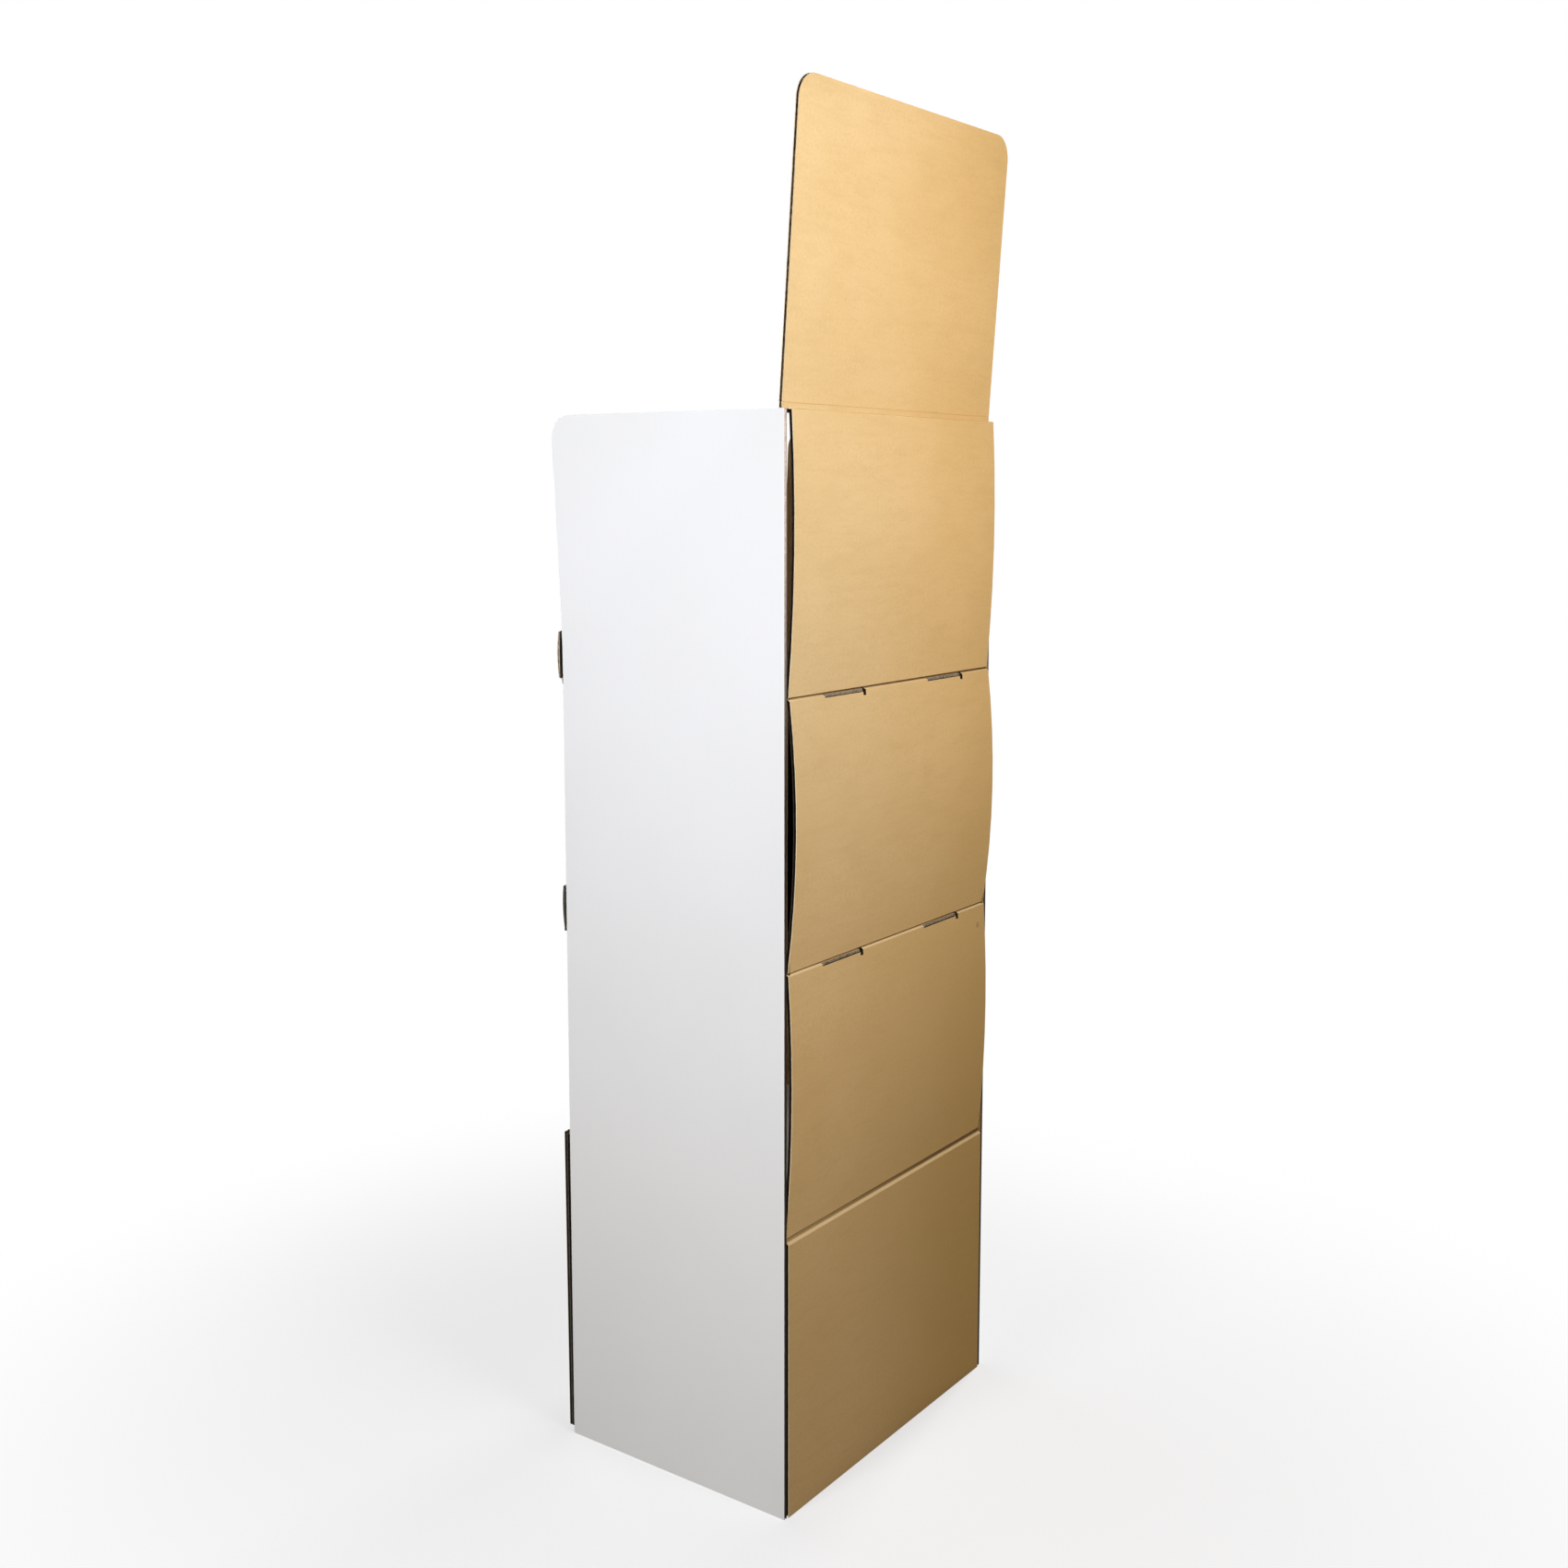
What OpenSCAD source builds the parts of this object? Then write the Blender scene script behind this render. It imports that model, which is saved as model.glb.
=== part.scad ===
// Floor standee of corrugated card: two side panels, a creased back sheet with its header,
// two shelf trays and a base shelf whose lip runs down as the plinth.
// Millimetres. Z is up, the front faces -Y, the origin is under the middle of the whole part.

/* [Unit] */
// Width over the two side panels
unit_w = 400; // [320:1:600]
// Depth of a side panel
side_d = 289; // [180:1:450]
// Height of a side panel
side_h = 1121; // [1000:1:1400]
// Thickness of the corrugated board
board_t = 4; // [3:0.1:5]
// Clearance between sheets that sit beside each other
fit_gap = 0.5; // [0.2:0.1:1]

/* [Levels] */
// Height of the crease behind the base shelf
base_level = 296; // [200:0.5:330]
// Height from one shelf to the next
shelf_pitch = 273.5; // [200:0.5:300]

/* [Side panels] */
// Radius of the rounded top front corner
side_corner_r = 24; // [5:1:60]
// How far the free top front corner bends outward
flare = 13; // [2:0.5:25]
// Share of the free corner over which it bends before it runs straight
flare_arc_share = 0.3; // [0.1:0.05:0.8]

/* [Back sheet] */
// Room between the back sheet and a side panel
back_gap = 2; // [0.5:0.1:3]
// Outward bow of the bay above the upper shelf
top_bow = 5.2; // [2:0.1:16]
// Outward bow of the bay above the middle shelf
middle_bow = 9.2; // [2:0.1:16]
// Outward bow of the bay above the base shelf
low_bow = 5.8; // [2:0.1:16]
// How far the top of the upper bay stands behind the side panels
top_stand = 5.2; // [1:0.1:12]
// How far the sheet stands behind the side panels just above the upper crease
upper_over = 0.8; // [0:0.1:2]
// How far the sheet stands behind the side panels just under the upper crease
upper_under = 2.8; // [1:0.1:5]
// How far the sheet stands behind the side panels just under the middle crease
middle_under = 1.2; // [0:0.1:3]
// How far the sheet stands inside the side panels' rear edges just above the low creases
low_in = 2; // [0:0.1:2.5]
// How far the bottom panel stands behind the side panels
foot_stand = 1.2; // [0:0.1:2]
// Height of the slope that runs in to a crease from below
crease_h = 1.8; // [1.5:0.1:4]
// Height of the slope that runs in to a crease from above
crease_over = 1.4; // [0.5:0.1:3]
// Depth of a crease in the rear face
crease_rear = 1.6; // [0.3:0.1:2]
// Depth of a crease in the front face
crease_front = 0.4; // [0.2:0.1:0.8]
// Height of the slope between the two creases behind the base shelf
double_strip = 5; // [4:0.5:10]

/* [Header] */
// Height of the header above the side panels
header_h = 308; // [100:1:450]
// Distance of the header's ends from the outer faces of the side panels
header_inset = 1.5; // [0:0.1:2.5]
// How far the rear face of the header stands in front of the side panels' rear edges
header_set = 3.5; // [1:0.5:20]
// Lean of the header to the rear, in degrees
header_lean = 4; // [0:0.5:10]
// Height of the upright strip under the header's crease
header_strip = 6; // [4:0.5:15]
// Depth of the crease at the header's foot in the rear face
header_crease = 0.5; // [0.2:0.1:1.2]
// Radius of the header's corners
header_corner_r = 25; // [5:1:60]

/* [Shelf tabs] */
// Depth of a shelf's top below its crease
shelf_drop = 0.5; // [0.5:0.1:4]
// Length of a slot in the back sheet
slot_l = 74; // [40:1:80]
// Distance of a slot's outer end from the edge of the back sheet
slot_edge = 59; // [30:0.5:70]
// Room above a tab in its slot
tab_over = 0.8; // [0.2:0.1:1]
// Room under a tab in its slot
tab_under = 0.9; // [0.2:0.1:2]
// Thickness of a tab, crushed in its slot
tab_t = 2.3; // [1.5:0.1:4]
// How far a tab's end stands inside the back sheet's rear face
tab_set = 0.6; // [0:0.1:1]
// Width of the hook at one end of a slot
hook_w = 5; // [2:0.5:8]
// Depth of the hook below the slot
hook_h = 3.7; // [1:0.1:6]

/* [Lips] */
// Height of a lip above its shelf
lip_h = 56; // [30:0.5:80]
// Height of the plinth's top above the base shelf
plinth_rise = 57.5; // [30:0.5:80]
// Room between the two layers of a rolled lip
roll_gap = 1; // [0.5:0.1:2]
// How much the crown of a lip slopes down to the front
crown_drop = 3.5; // [1:0.1:6]
// Depth of the crown's slope from front to rear
crown_run = 6; // [3:0.1:6.5]
// Outside radius of the rear fold of the crown
roll_r = 3; // [1:0.1:3]
// Radius of a lip's corners
lip_corner_r = 3; // [1:0.5:4]

/* [Shelf trays] */
// How far the upper tray's front fold stands before the side panels
upper_lip_gap = 5; // [0.5:0.1:8]
// How far the upper lip's top stands before its fold
upper_lip_out = 1; // [0:0.1:8]
// Outward bow of the upper lip
upper_lip_bow = 2.3; // [1:0.1:8]
// How far the middle tray's front fold stands before the side panels
middle_lip_gap = 2; // [0.5:0.1:4]
// How far the middle lip's top stands before its fold
middle_lip_out = 2.4; // [0:0.1:4]
// Outward bow of the middle lip
middle_lip_bow = 2; // [1:0.1:5]
// Height of the free ends of a tray's lip above its shelf
ear_lift = 3; // [2:0.5:10]
// Height of a glued flange
flange_h = 40; // [20:1:80]
// Distance of a flange's ends from the ends of its fold
flange_inset = 12; // [6:1:30]
// How much a flange's ends taper
flange_taper = 10; // [4:1:30]
// Outside radius of a sharp fold
fold_r = 1.5; // [0.5:0.1:2.5]

/* [Base shelf] */
// Room between the plinth's foot and the front edges of the side panels
plinth_gap = 2.2; // [1:0.1:8]
// How far the plinth's top stands before its foot
plinth_out = 1.8; // [0:0.1:5]
// Height of the plinth's lower edge above the floor
plinth_lift = 7; // [2:0.5:20]

/* [Hidden] */
$fn = 180;
// Overrun for every cut
over = 1;
// How far joined stretches of one sheet run into each other
lap = 0.5;
white = [0.93, 0.93, 0.92];
kraft = [0.80, 0.63, 0.42];
// Half-width between the inner faces of the side panels
bay_half = unit_w / 2 - board_t;
// Half-width of the back sheet below the header
back_half = bay_half - back_gap;
// Distance of a slot's middle from the middle of the back sheet
slot_mid = back_half - slot_edge - slot_l / 2;
// Creases of the back sheet
low_crease = base_level - double_strip;
middle_level = base_level + shelf_pitch;
upper_level = base_level + 2 * shelf_pitch;
// Tops of the shelves: the base's rear fold nests under the slope between its two creases
upper_top = upper_level - shelf_drop;
middle_top = middle_level - shelf_drop;
base_top = low_crease + board_t / 2;
// Lower and upper ends of each bowed bay on its rear face, in y and z
low_bay = [[-low_in, base_level + crease_over], [middle_under, middle_level - crease_h]];
middle_bay = [[0, middle_level + crease_over], [upper_under, upper_level - crease_h]];
top_bay = [[upper_over, upper_level + crease_over], [top_stand, side_h - board_t / 2]];
// Depth of a rolled lip, the height that its crown takes up, and what of it may pass the side panels
roll_d = 2 * board_t + roll_gap;
crown_h = crown_drop + board_t / 2;
lip_rear = -side_d - fit_gap;
// Lower and upper ends of each bowed lip on its front face, in depth to the front and z
upper_fold = side_d + upper_lip_gap;
middle_fold = side_d + middle_lip_gap;
upper_lip = [[upper_fold, upper_top], [upper_fold + upper_lip_out, upper_top + lip_h - crown_drop]];
middle_lip = [[middle_fold, middle_top], [middle_fold + middle_lip_out, middle_top + lip_h - crown_drop]];
// Front face of the plinth at its foot and at its top
plinth_foot = -side_d - plinth_gap - board_t;
plinth_head = plinth_foot - plinth_out;
// Rear edge of a deck
deck_rear = -board_t - fit_gap;
// Front face of the back sheet's bottom panel
foot_front = foot_stand - board_t;
// Header
header_z = side_h + header_strip;
header_l = (header_h - header_strip) / cos(header_lean);
header_half = unit_w / 2 - header_inset;
header_front = -header_set - board_t;
// The whole part is moved so that the origin is under its middle
front_end = min(-bow_end(upper_lip, upper_lip_bow), -bow_end(middle_lip, middle_lip_bow), plinth_head);
rear_end = max(
    header_l * sin(header_lean) - header_set,
    bow_end(top_bay, top_bow),
    bow_end(middle_bay, middle_bow),
    bow_end(low_bay, low_bow)
);
mid_y = -(front_end + rear_end) / 2;
// Bend of a side panel's free corner, about the line from its top rear to the upper shelf's front
bend_turn = atan2(side_h - upper_level, side_d);
bend_reach = side_d * sin(bend_turn);
bend_angle = atan2(flare, bend_reach * (1 - flare_arc_share / 2));
bend_r = bend_reach * flare_arc_share / (bend_angle * PI / 180);
// A length longer than any sheet
reach = side_h + header_h;

// Arc of a bowed bay or lip: its lean, its radius, its centre and its outermost point
function bow_lean(bay) = atan2(bay[1][0] - bay[0][0], bay[1][1] - bay[0][1]);
function bow_r(bay, rise) = pow(norm(bay[1] - bay[0]), 2) / (8 * rise) + rise / 2;
function bow_centre(bay, rise) =
    (bay[0] + bay[1]) / 2 - (bow_r(bay, rise) - rise) * [cos(bow_lean(bay)), -sin(bow_lean(bay))];
function bow_end(bay, rise) = bow_centre(bay, rise)[0] + bow_r(bay, rise);

// Extrudes a profile drawn in y and z over a width that is centred on x
module across(width) {
    translate([-width / 2, 0, 0])
        rotate([90, 0, 90])
            linear_extrude(width)
                children();
}

// Extrudes an outline drawn in x and z from one y to another
module along(from, to) {
    translate([0, to, 0])
        rotate([90, 0, 0])
            linear_extrude(to - from)
                children();
}

// Rectangle from its low corner to its high corner
module plate(low, high) {
    translate(low)
        square(high - low);
}

// What a round of radius r takes off a corner, turned by a number of quarter turns
module round_off(corner, quarters, r) {
    translate(corner)
        rotate(90 * quarters)
            difference() {
                plate([-r, -r], [over, over]);
                translate([-r, -r])
                    circle(r);
            }
}

// Outline of a side panel, drawn in y and z
module side_outline() {
    difference() {
        plate([-side_d, 0], [0, side_h]);
        round_off([-side_d, side_h], 1, side_corner_r);
    }
}

// Section of a side panel across its bend, drawn with its outer face on the z axis
module bent_section() {
    plate([-board_t, -2 * reach], [0, 0]);
    intersection() {
        translate([bend_r, 0])
            difference() {
                circle(bend_r + board_t);
                circle(bend_r);
            }
        polygon([
            [bend_r, 0],
            [-reach, 0],
            [-reach, (reach + bend_r) * tan(bend_angle)]
        ]);
    }
    translate([bend_r, 0])
        rotate(-bend_angle)
            translate([-bend_r, 0])
                plate([-board_t, 0], [0, reach]);
}

module side_sheet() {
    intersection() {
        translate([unit_w / 2, 0, 0])
            across(unit_w)
                side_outline();
        translate([unit_w / 2, 0, side_h])
            rotate([bend_turn, 0, 0])
                along(-2 * reach, 2 * reach)
                    bent_section();
    }
}

module side_panel_right() {
    color(white)
        translate([0, mid_y, 0])
            side_sheet();
}

module side_panel_left() {
    color(white)
        translate([0, mid_y, 0])
            mirror([1, 0, 0])
                side_sheet();
}

// What a fold of the board fills round its inner corner, turned by a number of quarter turns
module fold(corner, quarters) {
    translate(corner)
        rotate(90 * quarters)
            intersection() {
                circle(board_t);
                union() {
                    plate([-board_t, -board_t], [lap, 0]);
                    plate([-board_t, -board_t], [0, lap]);
                }
            }
}

// Straight stretch of board, from the low end to the high end of its front face
module leaf(low, high) {
    polygon([
        low,
        high,
        high + [board_t, 0],
        low + [board_t, 0]
    ]);
}

// Section of a crease at a level, with the slopes that run in to its depth from the rear face
// below it and above it, each given by its y and its height
module crease(level, below, above, depth) {
    front = min(below[0], above[0]) + crease_front - board_t;
    polygon([
        [below[0], level - below[1] - lap],
        [below[0], level - below[1]],
        [min(below[0], above[0]) - depth, level],
        [above[0], level + above[1]],
        [above[0], level + above[1] + lap],
        [above[0] + crease_front - board_t, level + above[1] + lap],
        [front, level],
        [below[0] - board_t, level - below[1] - lap]
    ]);
}

// Section of a bowed bay or lip, which may run on under its low end into a fold
module bow(bay, rise, under = 0) {
    centre = bow_centre(bay, rise);
    intersection() {
        translate(centre)
            difference() {
                circle(bow_r(bay, rise));
                circle(bow_r(bay, rise) - board_t);
            }
        plate([centre[0], bay[0][1] - under], [reach, bay[1][1]]);
    }
}

// Section of the back sheet from the floor to the ledge under the header
module back_section() {
    plate([foot_front, 0], [foot_stand, low_crease]);
    crease(base_level, [foot_stand, double_strip], [-low_in, crease_over], crease_rear);
    bow(low_bay, low_bow);
    crease(middle_level, [middle_under, crease_h], [0, crease_over], crease_rear);
    bow(middle_bay, middle_bow);
    crease(upper_level, [upper_under, crease_h], [upper_over, crease_over], crease_rear);
    bow(top_bay, top_bow);
    difference() {
        plate([header_front, side_h - board_t], [top_stand, side_h]);
        round_off([top_stand, side_h], 0, fold_r);
    }
}

// Section of the upright strip and the crease at the header's foot
module header_foot() {
    plate([header_front, side_h], [-header_set, header_z - crease_h]);
    crease(header_z, [-header_set, crease_h], [-header_set, crease_over], header_crease);
}

// Outline of the header in its own plane, its foot on the x axis
module header_outline() {
    difference() {
        plate([-header_half, 0], [header_half, header_l]);
        round_off([header_half, header_l], 0, header_corner_r);
        round_off([-header_half, header_l], 1, header_corner_r);
    }
}

module header() {
    across(2 * header_half)
        header_foot();
    translate([0, -header_set, header_z])
        rotate([-header_lean, 0, 0])
            along(-board_t, 0)
                header_outline();
}

// Slot under a crease, with a hook at its left end seen from the front
module slot(middle, top) {
    plate([middle - slot_l / 2, top - tab_t - tab_under], [middle + slot_l / 2, top + tab_over]);
    plate(
        [middle - slot_l / 2, top - tab_t - tab_under - hook_h],
        [middle - slot_l / 2 + hook_w, top - tab_t]
    );
}

// Tab that fills its slot up to the hook
module tab(middle, top) {
    plate(
        [middle - slot_l / 2 + hook_w + fit_gap, top - tab_t],
        [middle + slot_l / 2 - fit_gap, top]
    );
}

module back_sheet() {
    color(kraft)
        translate([0, mid_y, 0]) {
            difference() {
                across(2 * back_half)
                    back_section();
                along(-reach, reach)
                    for (top = [middle_top, upper_top], middle = [-slot_mid, slot_mid])
                        slot(middle, top);
            }
            header();
        }
}

// Outline of a glued flange that hangs under a fold between two ends
module flange_outline(from, to, top) {
    polygon([
        [from, top - board_t],
        [to, top - board_t],
        [to - flange_taper, top - flange_h],
        [from + flange_taper, top - flange_h]
    ]);
}

// Pair of flanges glued to the side panels, for a deck that ends at a rear edge
module side_flanges(rear, top) {
    for (turn = [0, 1])
        mirror([turn, 0, 0])
            translate([bay_half - board_t / 2, 0, 0])
                across(board_t)
                    flange_outline(flange_inset - side_d, rear - flange_inset, top);
}

// What the folds of the side flanges take off the edges of their deck
module side_folds(rear, top) {
    along(flange_inset - side_d, rear - flange_inset) {
        round_off([bay_half, top], 0, fold_r);
        round_off([-bay_half, top], 1, fold_r);
    }
}

// Section of a lip's crown, from its front face and its top
module crown(front, top) {
    difference() {
        polygon([
            [front, top - crown_drop],
            [front + crown_run, top],
            [front + roll_d, top],
            [front + roll_d, top - crown_h],
            [front + lap, top - crown_h]
        ]);
        round_off([front + roll_d, top], 0, roll_r);
    }
}

// The part of a lip's section that passes in front of the side panels
module before_sides() {
    intersection() {
        union()
            children();
        plate([-reach, 0], [lip_rear, reach]);
    }
}

// Outline of a lip over its whole width
module lip_outline(low, high) {
    difference() {
        plate([-unit_w / 2, low], [unit_w / 2, high]);
        round_off([unit_w / 2, high], 0, lip_corner_r);
        round_off([-unit_w / 2, high], 1, lip_corner_r);
        round_off([-unit_w / 2, low], 2, lip_corner_r);
        round_off([unit_w / 2, low], 3, lip_corner_r);
    }
}

// Section of a tray's lip: its bowed outer layer and its crown
module lip_section(lip, rise, top) {
    mirror([1, 0])
        bow(lip, rise, lap);
    crown(-lip[1][0], top + lip_h);
}

// Section of a tray: deck, fold, lip and the inner layer that comes down to the deck
module tray_section(lip, rise, top) {
    inner = board_t - lip[0][0];
    plate([inner, top - board_t], [deck_rear, top]);
    fold([inner, top], 0);
    lip_section(lip, rise, top);
    leaf(
        [inner + 2 * roll_gap, top + fit_gap],
        [board_t + roll_gap - lip[1][0], top + lip_h - crown_h + lap]
    );
}

// Shelf tray with a bowed lip, its deck's top at a height and its tabs' ends under a crease
module tray(lip, rise, top, under) {
    difference() {
        across(2 * bay_half)
            tray_section(lip, rise, top);
        side_folds(deck_rear, top);
    }
    side_flanges(deck_rear, top);
    intersection() {
        across(unit_w)
            before_sides()
                lip_section(lip, rise, top);
        along(-reach, reach)
            lip_outline(top + ear_lift, top + lip_h);
    }
    along(deck_rear - lap, under - tab_set)
        for (middle = [-slot_mid, slot_mid])
            tab(middle, top);
}

module upper_shelf() {
    color(white)
        translate([0, mid_y, 0])
            tray(upper_lip, upper_lip_bow, upper_top, upper_under);
}

module middle_shelf() {
    color(white)
        translate([0, mid_y, 0])
            tray(middle_lip, middle_lip_bow, middle_top, middle_under);
}

// Section of the plinth and the crown at its top
module plinth_section() {
    leaf([plinth_foot, plinth_lift], [plinth_head, base_top + plinth_rise - crown_drop]);
    crown(plinth_head, base_top + plinth_rise);
}

// Section of the base shelf: plinth, crown, inner layer, fold and deck
module base_section() {
    inner = plinth_head + roll_d;
    plinth_section();
    plate([inner - board_t, base_top], [inner, base_top + plinth_rise - crown_h + lap]);
    fold([inner, base_top], 0);
    plate([inner, base_top - board_t], [deck_rear, base_top]);
}

// Section of the deck's run to its rear flange
module rear_run() {
    plate([deck_rear - board_t, base_top - board_t], [foot_front, base_top]);
}

module base_shelf() {
    flange_half = bay_half - flange_inset;
    color(white)
        translate([0, mid_y, 0]) {
            difference() {
                union() {
                    across(2 * bay_half)
                        base_section();
                    across(2 * flange_half)
                        rear_run();
                }
                side_folds(deck_rear, base_top);
                across(2 * flange_half)
                    round_off([foot_front, base_top], 0, board_t);
            }
            side_flanges(deck_rear, base_top);
            along(foot_front - board_t, foot_front)
                flange_outline(-flange_half, flange_half, base_top);
            intersection() {
                across(unit_w)
                    before_sides()
                        plinth_section();
                along(-reach, reach)
                    lip_outline(plinth_lift, base_top + plinth_rise);
            }
        }
}

side_panel_right();
side_panel_left();
back_sheet();
upper_shelf();
middle_shelf();
base_shelf();
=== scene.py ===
import math

import bmesh
import bpy
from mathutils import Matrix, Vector
from mathutils.bvhtree import BVHTree


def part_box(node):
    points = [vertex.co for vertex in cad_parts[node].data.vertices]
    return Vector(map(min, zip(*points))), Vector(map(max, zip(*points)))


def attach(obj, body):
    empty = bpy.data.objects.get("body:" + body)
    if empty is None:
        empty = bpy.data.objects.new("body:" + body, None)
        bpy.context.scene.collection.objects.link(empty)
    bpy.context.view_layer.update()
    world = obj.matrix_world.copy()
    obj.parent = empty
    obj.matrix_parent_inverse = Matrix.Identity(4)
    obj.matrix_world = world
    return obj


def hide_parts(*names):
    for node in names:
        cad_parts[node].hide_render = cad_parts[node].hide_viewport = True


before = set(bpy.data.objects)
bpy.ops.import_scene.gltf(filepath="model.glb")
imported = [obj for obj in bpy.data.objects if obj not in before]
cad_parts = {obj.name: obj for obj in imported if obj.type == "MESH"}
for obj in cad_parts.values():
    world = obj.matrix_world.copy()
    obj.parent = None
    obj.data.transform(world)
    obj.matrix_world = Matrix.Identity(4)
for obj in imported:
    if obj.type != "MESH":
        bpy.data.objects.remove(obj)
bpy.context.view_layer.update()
scene = bpy.context.scene
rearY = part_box("side_panel_right")[1].y  # rear edges of the side panels
up = Vector((0, 0, 1))
white = (1, 1, 1, 1)
print("frame loaded,", len(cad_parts), "nodes")


# shader maths: a socket that takes plain operators
class Value:
    def __init__(self, finish, socket):
        self.finish = finish
        self.socket = socket

    def maths(self, operation, first, second=0.0):
        return self.finish.node("ShaderNodeMath", {"operation": operation}, {0: first, 1: second})

    def __add__(self, other):
        return self.maths("ADD", self, other)

    def __radd__(self, other):
        return self.maths("ADD", other, self)

    def __sub__(self, other):
        return self.maths("SUBTRACT", self, other)

    def __rsub__(self, other):
        return self.maths("SUBTRACT", other, self)

    def __mul__(self, other):
        return self.maths("MULTIPLY", self, other)

    def __rmul__(self, other):
        return self.maths("MULTIPLY", other, self)

    def __truediv__(self, other):
        return self.maths("DIVIDE", self, other)

    def sine(self):
        return self.maths("SINE", self)

    def atMost(self, limit):
        return self.maths("MINIMUM", self, limit)

    def step(self, low, high):  # smooth 0 to 1 between two values
        settings = {"interpolation_type": "SMOOTHSTEP"}
        inputs = {"Value": self, "From Min": low, "From Max": high}
        return self.finish.node("ShaderNodeMapRange", settings, inputs)

    def band(self, rise, fall):  # 1 between two steps
        return self.step(*rise) * (1 - self.step(*fall))


# a material, or the world, built node by node
class Finish:
    def __init__(self, name, kind=bpy.data.materials):
        self.block = kind.new(name)
        self.block.use_nodes = True
        self.tree = self.block.node_tree
        self.tree.nodes.clear()

    def node(self, kind, settings, inputs, output=0):
        made = self.tree.nodes.new(kind)
        for name, value in settings.items():
            setattr(made, name, value)
        for key, value in inputs.items():
            if isinstance(value, Value):
                self.tree.links.new(value.socket, made.inputs[key])
            else:
                made.inputs[key].default_value = value
        return Value(self, made.outputs[output]) if made.outputs else None

    def place(self):
        return self.node("ShaderNodeTexCoord", {}, {}, "Object")

    def axis(self, letter):
        return self.node("ShaderNodeSeparateXYZ", {}, {0: self.place()}, letter)

    def noise(self, scale, detail, rough, stretch=(1, 1, 1)):
        spot = self.node("ShaderNodeMapping", {}, {"Vector": self.place(), "Scale": stretch})
        inputs = {"Vector": spot, "Scale": scale, "Detail": detail, "Roughness": rough}
        return self.node("ShaderNodeTexNoise", {}, inputs)

    def flutes(self, letter):  # waves of the board's flutes, which run across an axis
        return (self.axis(letter) * (2 * math.pi / board["pitch"])).sine()

    def mix(self, share, first, second, blend="MIX"):
        settings = {"data_type": "RGBA", "blend_type": blend}
        return self.node("ShaderNodeMix", settings, {0: share, 6: first, 7: second}, 2)

    def veil(self, tone, mask, look):  # a colour laid over part of a tone
        return self.mix(mask.step(*look["range"]) * look["share"], tone, look["tone"])

    def tint(self, tone, mask, colour):
        return self.mix(mask, tone, self.mix(1.0, tone, colour, "MULTIPLY"))

    def seen(self):  # 1 for what the camera sees, straight, mirrored or through glass
        kinds = ("Is Camera Ray", "Is Glossy Ray", "Is Transmission Ray")
        straight, mirrored, through = [self.node("ShaderNodeLightPath", {}, {}, kind) for kind in kinds]
        return (straight + mirrored + through).atMost(1.0)

    def paper(self, tone, shine, height, look):  # a matt sheet with slight relief
        inputs = {"Height": height, "Distance": look["relief"], "Strength": look["strength"]}
        shader = self.node("ShaderNodeBsdfPrincipled", {}, {
            "Base Color": tone,
            "Roughness": shine * look["roughMore"] + look["rough"],
            "Normal": self.node("ShaderNodeBump", {}, inputs),
            "Specular IOR Level": look["specular"],
        })
        return self.done(shader)

    def done(self, shader, output="ShaderNodeOutputMaterial"):
        self.node(output, {}, {"Surface": shader})
        return self.block


def rgba(red, green, blue):
    return (red, green, blue, 1)


# corrugated board, in metres
board = {
    "thick": 0.004,
    "liner": 0.0007,  # liner at a cut edge
    "pitch": 0.0078,  # from one flute to the next
    "medium": 0.0003,
}

# kraft liner: warm tan paper with soft clouds, fine grain and faint flute lines
kraftDeep = rgba(0.61, 0.375, 0.145)
kraftGrain = rgba(0.50, 0.295, 0.11)
kraftLook = {  # a noise is its scale, detail, roughness and stretch
    "base": rgba(0.71, 0.455, 0.19),
    "clouds": {
        "noise": (5.5, 3, 0.55),
        "range": (0.3, 0.7),
        "share": 0.5,
        "tone": rgba(0.78, 0.525, 0.25),
    },
    "paintedLowShade": {  # painted shade: darker and yellower low down, most of all on the far side, where less light falls
        "tone": rgba(0.50, 0.30, 0.085),
        "heights": (0.15, 0.95),
        "sides": (-0.2, 0.14),
        "most": 0.78,
        "less": 0.70,
    },
    "blotch": {
        "noise": (28, 3, 0.6, (0.6, 1, 1.6)),
        "range": (0.45, 0.8),
        "share": 0.3,
        "tone": kraftDeep,
    },
    "streaks": {
        "noise": (70, 3, 0.6, (0.35, 1, 2.2)),
        "range": (0.42, 0.75),
        "share": 0.22,
        "tone": kraftDeep,
    },
    "mottle": {
        "noise": (420, 3, 0.65),
        "range": (0.42, 0.7),
        "share": 0.21,
        "tone": kraftGrain,
    },
    "fibres": {
        "noise": (900, 2, 0.6, (1, 1, 0.5)),
        "range": (0.6, 0.75),
        "share": 0.22,
        "tone": kraftGrain,
    },
    "fluteShare": 0.03,
    "bumpMottle": 0.6,
    "bumpFlutes": 0.2,
    "relief": 0.0002,
    "strength": 0.35,
    "rough": 0.74,
    "roughMore": 0.12,
    "specular": 0.3,
}
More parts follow.
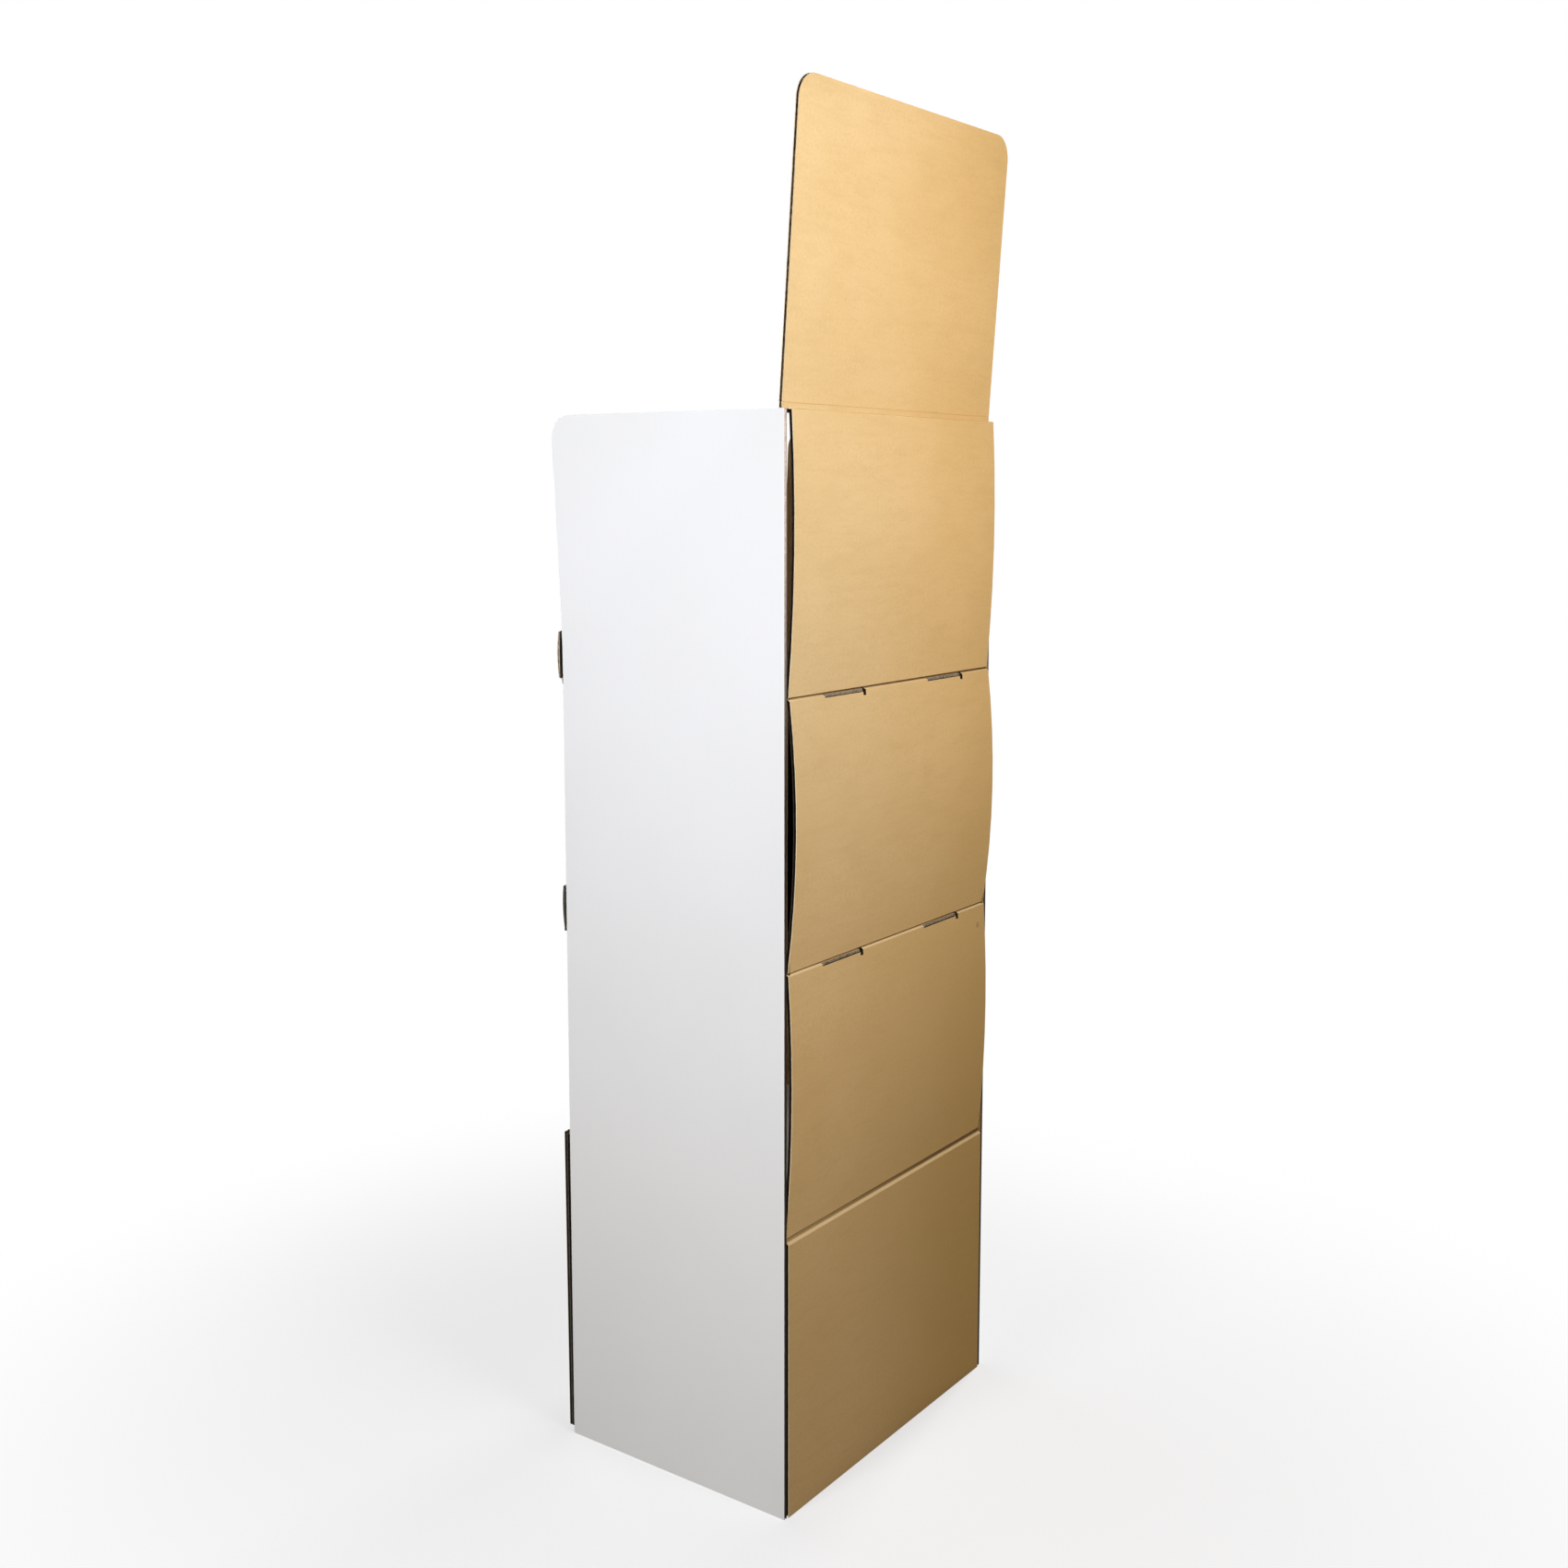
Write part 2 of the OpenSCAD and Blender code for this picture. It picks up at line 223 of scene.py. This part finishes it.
creaseLook = {  # painted light and shade on the back sheet, by height and by side
    # painted sheen: paler and cooler high up on the near side
    "paintedSheen": {"tint": rgba(0.94, 1.01, 1.13), "sides": (-0.16, 0.2), "heights": (0.5, 0.85)},
    # painted light: yellower on the far side
    "paintedFarTint": {"tint": rgba(1.01, 0.985, 0.91), "sides": (-0.2, 0.06)},
    "dark": rgba(0.13, 0.066, 0.024),
    "paintedLedgeLight": rgba(0.98, 0.74, 0.42),
    "soft": 0.0004,
    "folds": ((0.8424, 0.8446, 0.85), (0.5691, 0.5710, 0.80), (0.2939, 0.2975, 0.95)),  # painted shade in the crease grooves: from, to, share
    "paler": {"sides": (-0.15, 0.2), "less": 0.4},  # painted crease shade, paler toward the near side
    # painted highlight where the ledge below each crease catches the light: from, to, share
    "ledges": ((0.8410, 0.8420, 0.25), (0.5677, 0.5688, 0.60), (0.2911, 0.2931, 0.60)),
    "headerFoot": (1.1208, 1.1270),  # upright strip between its two faint lines, dimmed with painted shade
    "paintedDimming": rgba(0.93, 0.94, 0.94),
    # painted shadow lines at the two faint creases of the header's foot
    "line": 0.13,
    # a darker spot near the far edge, just below the middle crease
    "darkSpot": {"x": -0.178, "z": 0.546, "reach": 0.0045, "range": (0.1, 1), "share": 0.7},
}


# paints shade into the back sheet's creases, light onto its ledges, and sheen and tint by side
def paintCreaseLight(paint, tone, height, across, mottle):
    look, soft = creaseLook, creaseLook["soft"]
    paintedSheen, paintedFarTint, paler = look["paintedSheen"], look["paintedFarTint"], look["paler"]
    sheenShare = across.step(*paintedSheen["sides"]) * height.step(*paintedSheen["heights"])
    tone = paint.tint(tone, sheenShare, paintedSheen["tint"])
    tone = paint.tint(tone, 1 - across.step(*paintedFarTint["sides"]), paintedFarTint["tint"])
    for start, end, share in look["folds"]:
        band = height.band((start - soft, start + soft), (end, end + soft))
        tone = paint.mix(band * (share - paler["less"] * across.step(*paler["sides"])), tone, look["dark"])
    for start, end, share in look["ledges"]:
        band = height.band((start - soft, start + soft), (end, end + soft))
        tone = paint.mix(band * share, tone, look["paintedLedgeLight"])
    foot, head = look["headerFoot"]
    band = height.band((foot - soft, foot + soft), (head - soft, head + soft))
    tone = paint.tint(tone, band, look["paintedDimming"])
    for level in look["headerFoot"]:
        band = height.band((level - 2 * soft, level), (level, level + 2 * soft))
        tone = paint.mix(band * look["line"], tone, look["dark"])
    darkSpot = look["darkSpot"]
    sideways, upward = across - darkSpot["x"], height - darkSpot["z"]
    off = (sideways * sideways + upward * upward) / darkSpot["reach"] / darkSpot["reach"]
    return paint.mix((1 - off.step(*darkSpot["range"])) * mottle * darkSpot["share"], tone, look["dark"])


def kraftLiner(name, fluteAxis, creased=False):
    look, paintedLowShade = kraftLook, kraftLook["paintedLowShade"]
    paint = Finish(name)
    height, across = paint.axis("Z"), paint.axis("X")
    kinds = ("clouds", "blotch", "streaks", "mottle", "fibres")
    grain = {kind: paint.noise(*look[kind]["noise"]) for kind in kinds}
    waves = paint.flutes(fluteAxis)
    tone = paint.veil(look["base"], grain["clouds"], look["clouds"])
    # painted shade: the kraft darkened low down, most of all on the far side
    low = 1 - height.step(*paintedLowShade["heights"])
    share = paintedLowShade["most"] - paintedLowShade["less"] * across.step(*paintedLowShade["sides"])
    tone = paint.mix(low * share, tone, paintedLowShade["tone"])
    for kind in kinds[1:]:
        tone = paint.veil(tone, grain[kind], look[kind])
    tone = paint.mix((waves * 0.5 + 0.5) * look["fluteShare"], tone, kraftDeep)
    if creased:
        tone = paintCreaseLight(paint, tone, height, across, grain["mottle"])
    relief = grain["mottle"] * look["bumpMottle"] + waves * look["bumpFlutes"]
    return paint.paper(tone, grain["mottle"], relief, look)


# white liner: smooth coated paper, a shade cooler, with hardly any cloud
whiteShade = rgba(0.81, 0.81, 0.815)
whiteLook = {
    "base": rgba(0.86, 0.868, 0.895),
    "low": rgba(0.885, 0.876, 0.868),  # warmer near the floor
    "heights": (0.1, 0.8),
    "clouds": {"noise": (4.5, 3, 0.55), "range": (0.35, 0.75), "share": 0.35, "tone": whiteShade},
    "scuffs": {"noise": (70, 4, 0.7, (1, 1, 0.4)), "range": (0.6, 0.8), "share": 0.12, "tone": whiteShade},
    "grain": (700, 2, 0.6),
    "bumpGrain": 0.25,
    "bumpFlutes": 0.35,
    "relief": 0.00015,
    "strength": 0.25,
    "rough": 0.5,
    "roughMore": 0.12,
    "specular": 0.35,
}


def whiteLiner(name, fluteAxis):
    look = whiteLook
    paint = Finish(name)
    clouds = paint.noise(*look["clouds"]["noise"])
    scuffs = paint.noise(*look["scuffs"]["noise"])
    grain = paint.noise(*look["grain"])
    tone = paint.mix(paint.axis("Z").step(*look["heights"]), look["low"], look["base"])
    tone = paint.veil(tone, clouds, look["clouds"])
    tone = paint.veil(tone, scuffs, look["scuffs"])
    relief = grain * look["bumpGrain"] + paint.flutes(fluteAxis) * look["bumpFlutes"]
    return paint.paper(tone, scuffs, relief, look)


# cut edges: bare paper fibre, with the flutes open or crushed behind it
edgeLook = {
    "detail": 4,
    "noiseRough": 0.7,
    "range": (0.35, 0.7),
    "shade": {
        "depths": (-0.02, -0.01),
        "heights": (0.72, 1.06),
        "share": 0.96,
        "tone": rgba(0.022, 0.015, 0.010),
    },
    "relief": 0.0002,
    "strength": 0.4,
    "rough": 0.82,
    "roughMore": 0.1,
    "specular": 0.2,
}


def paperEdge(name, scale, first, second, shaded=False):
    look, shade = edgeLook, edgeLook["shade"]
    paint = Finish(name)
    fibres = paint.noise(scale, look["detail"], look["noiseRough"])
    tone = paint.mix(fibres.step(*look["range"]), rgba(*first), rgba(*second))
    if shaded:  # rear edges of the sides, deep in shade low down
        rear = paint.axis("Y").step(*(rearY + depth for depth in shade["depths"]))
        low = 1 - paint.axis("Z").step(*shade["heights"])
        tone = paint.mix(rear * low * shade["share"], tone, shade["tone"])
    return paint.paper(tone, fibres, fibres, look)


sideEdge = paperEdge("cut edge of the sides", 350, (0.46, 0.39, 0.34), (0.60, 0.50, 0.44), True)
sideFlutes = paperEdge("crushed flutes of the sides", 260, (0.66, 0.54, 0.47), (0.40, 0.31, 0.26), True)
# pale cream: the cut fibre's own tone, lightened with painted highlight where the edge catches the light
backEdge = paperEdge("cut edge of the back", 350, (0.94, 0.80, 0.57), (0.72, 0.58, 0.40))
# dark brown: the flutes' own brown deepened with painted shade in the header's slit
headerFlutes = paperEdge("flutes of the header", 300, (0.10, 0.065, 0.035), (0.34, 0.25, 0.15))
upperEdge = paperEdge("cut edge of the upper shelf", 500, (0.66, 0.58, 0.47), (0.36, 0.29, 0.22))
upperFlutes = paperEdge("crushed flutes of the upper shelf", 220, (0.56, 0.49, 0.38), (0.12, 0.09, 0.06))
# the middle shelf's cut edges: the same card as the upper shelf's, painted near black as shade
middleEdge = paperEdge("cut edge of the middle shelf, in painted shade", 500, (0.13, 0.125, 0.105), (0.055, 0.05, 0.042))
middleFlutes = paperEdge("crushed flutes of the middle shelf, in painted shade", 300, (0.10, 0.095, 0.08), (0.02, 0.018, 0.014))
tabEnd = paperEdge("crushed end of a tab", 330, (0.36, 0.29, 0.20), (0.08, 0.058, 0.036))
# the base's cut edge, painted dark as shade
baseEdge = paperEdge("cut edge of the base, in painted shade", 400, (0.17, 0.155, 0.12), (0.08, 0.07, 0.052))
# near black: open flutes darkened as painted shade, also laid as painted shade on the insides of the rolls
# and the rear of the ears
flutesAndShade = paperEdge("open flutes and painted shade", 260, (0.022, 0.015, 0.010), (0.05, 0.034, 0.022))
# painted shade: dark kraft on the downward faces of the crease notches
creaseShade = paperEdge("painted shade in creases", 300, (0.20, 0.11, 0.045), (0.09, 0.048, 0.02))
fluteMedium = paperEdge("flute medium", 420, (0.40, 0.29, 0.17), (0.26, 0.18, 0.10))
sideWhite = whiteLiner("white liner of the sides", "Y")
sideKraft = kraftLiner("kraft liner of the sides", "Y")
backWhite = whiteLiner("white liner of the back", "X")
backKraft = kraftLiner("kraft liner of the back", "X", True)
shelfWhite = whiteLiner("white liner of the shelves", "Z")
shelfKraft = kraftLiner("kraft liner of the shelves", "Z")
print("finishes ready")

# a sheet: a merged copy of its solid, with liners sorted by side and its cut edges opened
outerSide, innerSide, openEdge, plainEdge, openFlutes, creaseFace, deepShade, headerSlit = range(8)
sheetMaking = {
    "merge": 2e-6,
    "flat": math.radians(0.3),  # faces that meet within this angle are one
    "taper": 0.00005,  # of the slit between the liners
    "sharp": math.radians(20),
}


def addPiece(name, mesh):
    piece = bpy.data.objects.new(name, mesh)
    scene.collection.objects.link(piece)
    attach(piece, "root")
    print(name, len(mesh.polygons), "faces")
    return piece


def openEdges(bm, look):
    foot = look.get("headerFoot")  # only the back sheet has a header
    opened = [face for face in bm.faces if face.material_index == openEdge]
    rims = bmesh.ops.inset_region(bm, faces=opened, thickness=board["liner"], use_boundary=True)
    for face in rims["faces"]:
        beside = {other.material_index for edge in face.edges for other in edge.link_faces}
        if foot and innerSide in beside and face.calc_center_median().z < foot:  # front liner beside the bays, painted near black as shade
            face.material_index = openFlutes
    walls = bmesh.ops.inset_region(
        bm, faces=opened, thickness=sheetMaking["taper"], depth=-look["slit"], use_boundary=True
    )
    for face in opened + walls["faces"]:
        inHeader = foot and face.calc_center_median().z > foot
        face.material_index = headerSlit if inHeader else openFlutes


def dressSheet(look, sortFace):
    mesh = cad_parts[look["node"]].data.copy()
    mesh.name = look["piece"]
    mesh.materials.clear()
    edges = (look["edge"], tabEnd, look["flutes"], creaseShade, flutesAndShade, headerFlutes)
    for finish in (*look["liners"], *edges):
        mesh.materials.append(finish)
    bm = bmesh.new()
    bm.from_mesh(mesh)
    bmesh.ops.remove_doubles(bm, verts=bm.verts, dist=sheetMaking["merge"])
    bmesh.ops.dissolve_limit(bm, angle_limit=sheetMaking["flat"], verts=bm.verts, edges=bm.edges)
    for depth in look.get("cuts", ()):
        every = [*bm.verts, *bm.edges, *bm.faces]
        bmesh.ops.bisect_plane(bm, geom=every, plane_co=(0, rearY + depth, 0), plane_no=(0, 1, 0))
    for face in bm.faces:
        middle = face.calc_center_median()
        middle.y -= rearY
        face.material_index = sortFace(face.normal, middle)
    openEdges(bm, look)
    for face in bm.faces:
        face.smooth = True
    for edge in bm.edges:
        edge.smooth = edge.calc_face_angle(0) < sheetMaking["sharp"]
    bm.to_mesh(mesh)
    bm.free()
    piece = addPiece(look["piece"], mesh)
    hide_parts(look["node"])


# shares of a face's normal along an axis, by which faces are sorted
square, facing, leaning, sloping, grazing = 0.9, 0.7, 0.5, 0.3, 0.15

sideCard = {
    "slot": "white_lined_card",
    "liners": (sideWhite, sideKraft),
    "edge": sideEdge,
    "flutes": sideFlutes,
    "slit": 0.0008,
}
rightSide = {"node": "side_panel_right", "piece": "rightSideCard", **sideCard}
leftSide = {"node": "side_panel_left", "piece": "leftSideCard", **sideCard}


def sortSide(normal, middle):  # white outside, kraft inside, all edges cut
    outward = normal.x * math.copysign(1, middle.x)
    if abs(outward) < leaning:
        return openEdge
    return outerSide if outward > 0 else innerSide


dressSheet(rightSide, sortSide)
dressSheet(leftSide, sortSide)

backSheet = {
    "node": "back_sheet",
    "piece": "backCard",
    "slot": "kraft_card",
    "liners": (backKraft, backWhite),
    "edge": backEdge,
    "flutes": flutesAndShade,
    "slit": 0.0022,
    "slotReach": 0.15,
    "floorEdge": 0.001,
    "creasesTo": 1.018,
    "ledgeFrom": 1.108,
    "headerFoot": 1.118,
    "headerEdge": 1.168,
    "creaseSlope": -0.4,
}


def sortBack(normal, middle):  # kraft to the rear, white to the front
    look = backSheet
    if abs(normal.x) > facing:
        return openFlutes if abs(middle.x) < look["slotReach"] else openEdge
    if middle.z < look["floorEdge"]:
        return openEdge
    if middle.z > look["headerEdge"] and abs(normal.y) < leaning:
        return openEdge
    if middle.z < look["creasesTo"]:
        if abs(normal.y) < grazing:  # inside a slot
            return openFlutes
        # downward faces of the crease notches, painted dark as shade
        if normal.y > 0 and normal.z < look["creaseSlope"]:
            return creaseFace
    if abs(normal.y) > grazing:
        return outerSide if normal.y > 0 else innerSide
    if middle.z > look["ledgeFrom"]:  # ledge: kraft above, white below
        return outerSide if normal.z > 0 else innerSide
    return outerSide


dressSheet(backSheet, sortBack)

shelfCard = {
    "slot": "shelf_card",
    "liners": (shelfWhite, shelfKraft),
    "earFrom": 0.199,  # ends of the lip
}
trayCard = {
    **shelfCard,
    "slit": 0.0008,
    "flangeFrom": 0.19,
    "rearFrom": -0.006,  # rear edge of the deck
    "underDeck": 0.006,
    "deckSkin": 0.001,
    "rollTop": 0.05,
    "rollRear": 0.0045,  # faces in the roll, behind the front fold, painted dark as shade
    "rollFront": 0.0015,
}
upperShelf = {
    **trayCard,
    "node": "upper_shelf",
    "piece": "upperShelfCard",
    "edge": upperEdge,
    "flutes": upperFlutes,
    "deckTop": 0.8425,
    "fold": -0.294,
    "cuts": (-0.2936, -0.277),  # rear part of the ears in painted shade, raw ends before the flanges
}
middleShelf = {
    **trayCard,
    "node": "middle_shelf",
    "piece": "middleShelfCard",
    "edge": middleEdge,
    "flutes": middleFlutes,
    "deckTop": 0.569,
    "fold": -0.291,
    "cuts": (-0.2912, -0.277),
}
baseShelf = {
    **shelfCard,
    "node": "base_shelf",
    "piece": "baseShelfCard",
    "edge": baseEdge,
    "flutes": flutesAndShade,
    "slit": 0.0015,
    "plinthFoot": 0.01,
    "plinthRear": -0.2935,
    "rollRear": -0.2865,
    "rollTop": 0.345,
}


def sortTray(look):  # white under the deck and round the lip, kraft on the deck
    top, fold = look["deckTop"], look["fold"]
    earCut, rawCut = look["cuts"]

    def sort(normal, middle):
        if abs(normal.x) > facing:
            if abs(middle.x) > look["earFrom"]:
                return openEdge if middle.y < earCut else deepShade
            if abs(middle.x) < look["flangeFrom"] or middle.y < rawCut:
                return plainEdge
            return innerSide if normal.x * middle.x > 0 else outerSide
        if normal.y > square and middle.y > look["rearFrom"]:  # crushed tab ends, open rear edge
            return plainEdge if middle.y > 0 else openEdge
        if middle.z < top - look["underDeck"]:  # flanges
            return openEdge
        if abs(middle.z - top) < look["deckSkin"] and abs(normal.z) > facing:
            return innerSide if normal.z > 0 else plainEdge
        # insides of the roll: painted shade
        if top < middle.z < top + look["rollTop"]:
            if normal.y > sloping and middle.y < fold + look["rollRear"]:
                return deepShade
            if normal.y < -sloping and middle.y > fold + look["rollFront"]:
                return deepShade
        return outerSide
    return sort


def sortBase(normal, middle):  # white on the deck, the lip and the plinth's front, kraft below
    look = baseShelf
    if abs(normal.x) > facing:
        if abs(middle.x) > look["earFrom"]:
            return openEdge
        return outerSide if normal.x * middle.x > 0 else innerSide
    if middle.z < look["plinthFoot"] and normal.z < -facing:
        return openEdge
    # inside of the plinth's roll: painted shade
    if normal.y > sloping and middle.y < look["rollRear"] and middle.z < look["rollTop"]:
        return deepShade
    behind = middle.y > look["plinthRear"]
    if behind and (normal.z < -leaning or normal.y < -sloping and normal.z < leaning):
        return innerSide
    return outerSide


dressSheet(upperShelf, sortTray(upperShelf))
dressSheet(middleShelf, sortTray(middleShelf))
dressSheet(baseShelf, sortBase)
print("sheets dressed")

# flute medium: waved paper ribbons in the upper cut edges, which cross the flutes
ribbonMaking = {
    "steps": 14,  # to each flute
    "sink": 0.00012,
    "probe": 0.03,  # depth at which the sheet is first found
    "skin": 0.001,
}
sideRibbon = {"run": 1, "across": 0, "from": rearY - 0.288, "to": rearY - 0.001, "deep": 0.0007}
headerRibbon = {"run": 0, "across": 1, "from": -0.1962, "to": 0.1962, "deep": 0.0021}
ribbons = {
    "headerFlutes": {"sheet": backSheet, **headerRibbon},
    "rightSideFlutes": {"sheet": rightSide, **sideRibbon},
    "leftSideFlutes": {"sheet": leftSide, **sideRibbon},
}


def fluteRibbon(name):
    look = ribbons[name]
    sheet, run, across = look["sheet"], look["run"], look["across"]
    low, length = look["from"], look["to"] - look["from"]
    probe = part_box(sheet["node"])[1].z - ribbonMaking["probe"]
    solid = bmesh.new()
    solid.from_mesh(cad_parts[sheet["node"]].data)
    tree = BVHTree.FromBMesh(solid)

    def midway(spot):  # half way between the two faces of the sheet
        beam = Vector((0, 0, 0))
        beam[across] = 1
        ends = [tree.ray_cast(spot - beam, beam)[0], tree.ray_cast(spot + beam, -beam)[0]]
        return sum(end[across] for end in ends) / 2

    def edgePoint(along):
        spot = Vector((0, 0, probe))
        spot[run] = along
        spot[across] = midway(spot)
        spot.z = tree.ray_cast(spot + up, -up)[0].z - ribbonMaking["skin"]
        spot[across] = midway(spot)
        spot.z += ribbonMaking["skin"]
        return spot

    swing = board["thick"] / 2 - board["liner"] - board["medium"] / 2
    count = round(length / board["pitch"] * ribbonMaking["steps"])
    strip = bmesh.new()
    bmesh.ops.create_grid(strip, x_segments=count, y_segments=1, size=0.5)
    for vert in strip.verts:
        along = low + (vert.co.x + 0.5) * length
        spot = edgePoint(along)
        spot[across] += swing * math.sin(2 * math.pi * along / board["pitch"])
        spot.z -= ribbonMaking["sink"] if vert.co.y > 0 else look["deep"]
        vert.co = spot
    bmesh.ops.solidify(strip, geom=strip.faces, thickness=board["medium"])
    bmesh.ops.recalc_face_normals(strip, faces=strip.faces)
    mesh = bpy.data.meshes.new(name)
    strip.to_mesh(mesh)
    strip.free()
    solid.free()
    mesh.materials.append(fluteMedium)
    addPiece(name, mesh)


for ribbon in ribbons:
    fluteRibbon(ribbon)

# floor: pale, with the shadow kept, fading into the white background
floorLook = {
    "half": 9.0,
    "fade": (0.30, 1.15),  # distances from the middle
    "lift": 0.62,  # share of plain white near the part
    "tone": rgba(0.86, 0.86, 0.865),
    "bounce": rgba(0.30, 0.28, 0.25),
}


def paleFloor():
    look = floorLook
    paint = Finish("pale floor")
    spread = paint.node("ShaderNodeVectorMath", {"operation": "LENGTH"}, {0: paint.place()}, "Value")
    seen = paint.seen()
    tone = paint.mix(seen, look["bounce"], look["tone"])
    lit = paint.node("ShaderNodeBsdfDiffuse", {}, {"Color": tone})
    glow = paint.node("ShaderNodeEmission", {}, {"Color": white, "Strength": 1.0})
    fade = look["lift"] + (1 - look["lift"]) * spread.step(*look["fade"])
    return paint.done(paint.node("ShaderNodeMixShader", {}, {0: seen * fade, 1: lit, 2: glow}))


floorMesh = bpy.data.meshes.new("floor")
floorForm = bmesh.new()
bmesh.ops.create_grid(floorForm, x_segments=1, y_segments=1, size=floorLook["half"])
floorForm.to_mesh(floorMesh)
floorForm.free()
floorMesh.materials.append(paleFloor())
floor = bpy.data.objects.new("floor", floorMesh)
scene.collection.objects.link(floor)

# soft studio light: softboxes behind the part, strips beside it and weak lamps before it
lamps = {  # place, aim, size and watts
    "rearSoftbox": ((0.28, rearY + 0.90, 1.28), (0.07, rearY, 1.02), (0.5, 0.5), 9.4),
    "headerSoftbox": ((0.24, rearY + 0.64, 1.50), (-0.02, rearY, 1.28), (0.4, 0.4), 1.8),
    "rearLow": ((0.58, rearY + 0.55, 0.36), (0.10, rearY, 0.25), (0.3, 0.3), 0.32),
    "sideStrip": ((1.30, rearY - 0.15, 1.09), (0.20, rearY - 0.14, 1.02), (0.25, 0.4), 7.8),
    "lowStrip": ((2.00, rearY - 0.15, 0.55), (0.20, rearY - 0.12, 0.35), (0.3, 1.0), 9.3),
    "leftStrip": ((-1.60, rearY - 0.15, 0.80), (-0.20, rearY - 0.14, 0.70), (0.25, 0.5), 16),
    "frontLow": ((-0.45, rearY - 1.75, 0.14), (0.0, rearY - 0.3, 0.60), (0.9, 0.25), 10),
    "frontSoftbox": ((-0.55, rearY - 2.60, 0.95), (-0.05, rearY - 0.3, 0.65), (0.5, 1.0), 6.0),
}
for name, (place, aim, size, watts) in lamps.items():
    lamp = bpy.data.lights.new(name, "AREA")
    lamp.shape = "RECTANGLE"
    lamp.size, lamp.size_y = size
    lamp.energy = watts
    stand = bpy.data.objects.new(name, lamp)
    stand.visible_camera = False
    stand.location = place
    stand.rotation_mode = "QUATERNION"
    stand.rotation_quaternion = (Vector(aim) - Vector(place)).to_track_quat("-Z", "Y")
    scene.collection.objects.link(stand)

fill = 0.02  # weak light from all round
sky = Finish("studio", bpy.data.worlds)
weak = sky.node("ShaderNodeBackground", {}, {"Color": white, "Strength": fill})
backdrop = sky.node("ShaderNodeBackground", {}, {"Color": white, "Strength": 1.0})
chosen = sky.node("ShaderNodeMixShader", {}, {0: sky.seen(), 1: weak, 2: backdrop})
scene.world = sky.done(chosen, "ShaderNodeOutputWorld")
scene.view_settings.view_transform = "Standard"
print("light and floor ready")

# camera, solved from the photo's own edges
shot = {
    "eye": (1.562827, rearY + 0.98483, 1.038732),
    "turn": math.radians(125.863),
    "tilt": math.radians(6.863),
    "sensor": 36,
    "lens": 40.33,
    "shift": -0.0491,
}
turn, tilt = shot["turn"], shot["tilt"]
away = Vector((math.sin(turn) * math.cos(tilt), -math.cos(turn) * math.cos(tilt), math.sin(tilt)))
cameraData = bpy.data.cameras.new("camera")
cameraData.sensor_width = shot["sensor"]
cameraData.lens = shot["lens"]
cameraData.shift_y = shot["shift"]
camera = bpy.data.objects.new("camera", cameraData)
camera.location = shot["eye"]
camera.rotation_mode = "QUATERNION"
camera.rotation_quaternion = (-away).to_track_quat("-Z", "Y")
scene.collection.objects.link(camera)
scene.camera = camera
print("camera ready")

bpy.context.view_layer.update()
